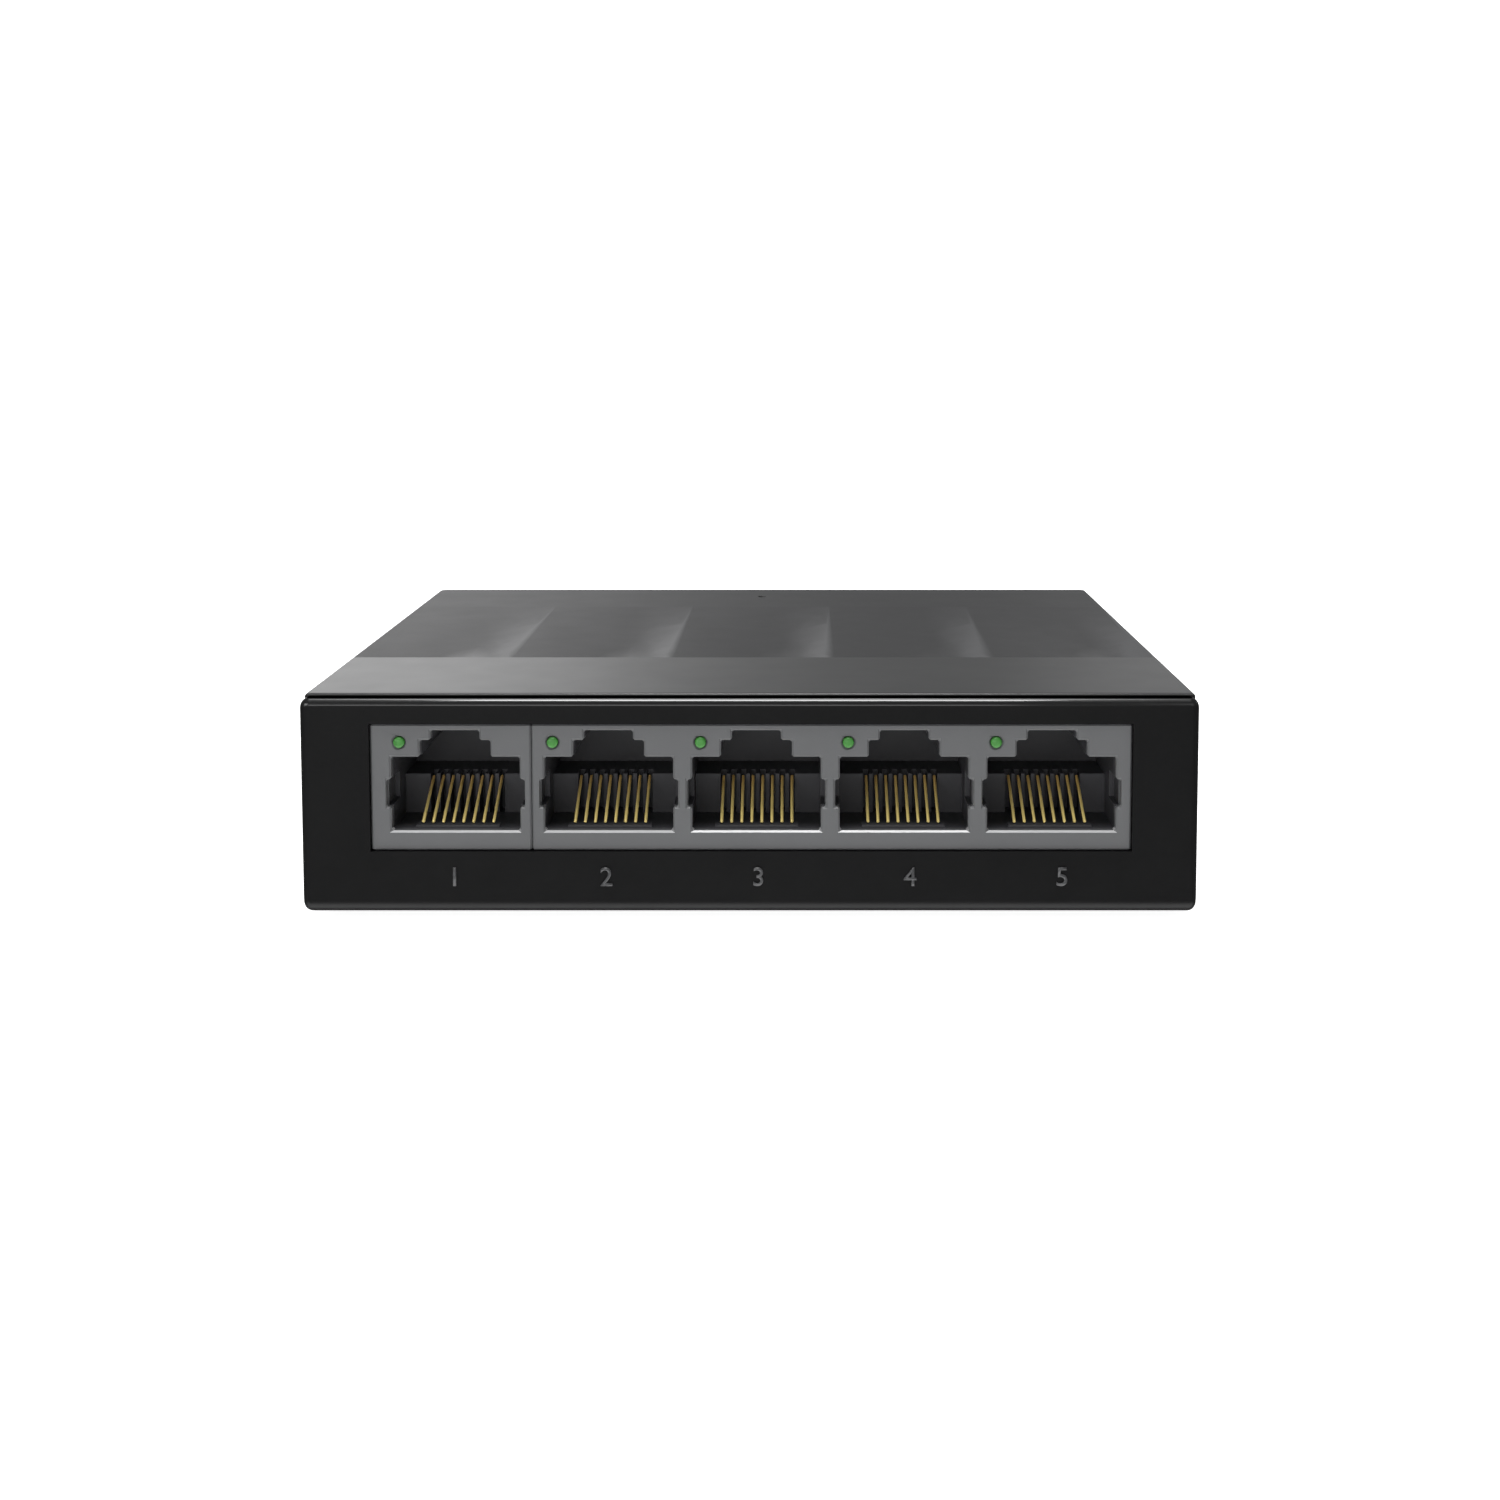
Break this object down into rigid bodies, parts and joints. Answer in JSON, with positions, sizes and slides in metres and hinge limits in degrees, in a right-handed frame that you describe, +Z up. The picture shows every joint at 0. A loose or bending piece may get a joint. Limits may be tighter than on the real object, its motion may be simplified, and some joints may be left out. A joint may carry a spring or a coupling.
{
  "type": "desktop network switch",
  "caption": "Flat desktop network switch with a black port face, grey lid with shallow crests, copper ports and a rear power inlet.",
  "frame": {"origin": "under the middle of the case, on the surface the rubber feet stand on", "axes": "+Z up, port face towards -Y, +X to the right when looking at the ports"},
  "size_m": [0.09, 0.0722, 0.023],
  "materials": {
    "case_black": "fine satin, moulded",
    "lid_grey": "soft satin, moulded",
    "jack_grey": "smooth moulded",
    "insert_black": "smooth moulded",
    "contact_gold": "gold plated, polished",
    "lamp_green": "tinted clear, polished",
    "numeral_grey": "raised marks",
    "board_green": "solder mask",
    "chip_black": "moulded epoxy",
    "component_metal": "drawn can",
    "screw_steel": "zinc plated",
    "foot_rubber": "matt",
    "light_pipe": "clear acrylic"
  },
  "bodies": {
    "switch": {"base_shell": "case_black", "top_cover": "lid_grey", "circuit_board": "board_green", "single_jack_housing": "jack_grey", "gang_jack_housing": "jack_grey", "port_numerals": "numeral_grey", "dc_inlet_housing": "insert_black", "dc_inlet_pin": "component_metal", "switch_chip": "chip_black", "crystal": "component_metal", "voltage_regulator": "chip_black", "power_inductor": "chip_black", "capacitors": "component_metal", "chip_components": "chip_black", "power_lamp_chip": "lamp_green", "power_lamp_pipe": "light_pipe", "board_screws": "screw_steel", "case_screws": "screw_steel", "port_1_insert": "insert_black", "port_1_lamp": "lamp_green", "port_1_magnetics": "chip_black", "port_2_insert": "insert_black", "port_2_lamp": "lamp_green", "port_2_magnetics": "chip_black", "port_3_insert": "insert_black", "port_3_lamp": "lamp_green", "port_3_magnetics": "chip_black", "port_4_insert": "insert_black", "port_4_lamp": "lamp_green", "port_4_magnetics": "chip_black", "port_5_insert": "insert_black", "port_5_lamp": "lamp_green", "port_5_magnetics": "chip_black", "front_left_foot": "foot_rubber", "front_right_foot": "foot_rubber", "rear_left_foot": "foot_rubber", "rear_right_foot": "foot_rubber"},
    "port_1_springs": {"port_1_contacts": "contact_gold"},
    "port_2_springs": {"port_2_contacts": "contact_gold"},
    "port_3_springs": {"port_3_contacts": "contact_gold"},
    "port_4_springs": {"port_4_contacts": "contact_gold"},
    "port_5_springs": {"port_5_contacts": "contact_gold"},
    "inlet_spring": {"dc_inlet_leaf": "component_metal"}
  },
  "joints": [
    {"name": "port_1_contact_flex", "type": "hinge", "parent": "switch", "child": "port_1_springs", "pos_m": [-0.02948, -0.0343, 0.00998], "axis": [-1, 0, 0], "range_deg": [0, 14], "stiffness_Nm_per_rad": 0.06},
    {"name": "port_2_contact_flex", "type": "hinge", "parent": "switch", "child": "port_2_springs", "pos_m": [-0.01412, -0.0343, 0.00998], "axis": [-1, 0, 0], "range_deg": [0, 14], "stiffness_Nm_per_rad": 0.06},
    {"name": "port_3_contact_flex", "type": "hinge", "parent": "switch", "child": "port_3_springs", "pos_m": [0.00068, -0.0343, 0.00998], "axis": [-1, 0, 0], "range_deg": [0, 14], "stiffness_Nm_per_rad": 0.06},
    {"name": "port_4_contact_flex", "type": "hinge", "parent": "switch", "child": "port_4_springs", "pos_m": [0.01548, -0.0343, 0.00998], "axis": [-1, 0, 0], "range_deg": [0, 14], "stiffness_Nm_per_rad": 0.06},
    {"name": "port_5_contact_flex", "type": "hinge", "parent": "switch", "child": "port_5_springs", "pos_m": [0.03028, -0.0343, 0.00998], "axis": [-1, 0, 0], "range_deg": [0, 14], "stiffness_Nm_per_rad": 0.06},
    {"name": "inlet_leaf_flex", "type": "hinge", "parent": "switch", "child": "inlet_spring", "pos_m": [0.03, 0.0255, 0.0084], "axis": [-1, 0, 0], "range_deg": [0, 4], "stiffness_Nm_per_rad": 0.06}
  ]
}
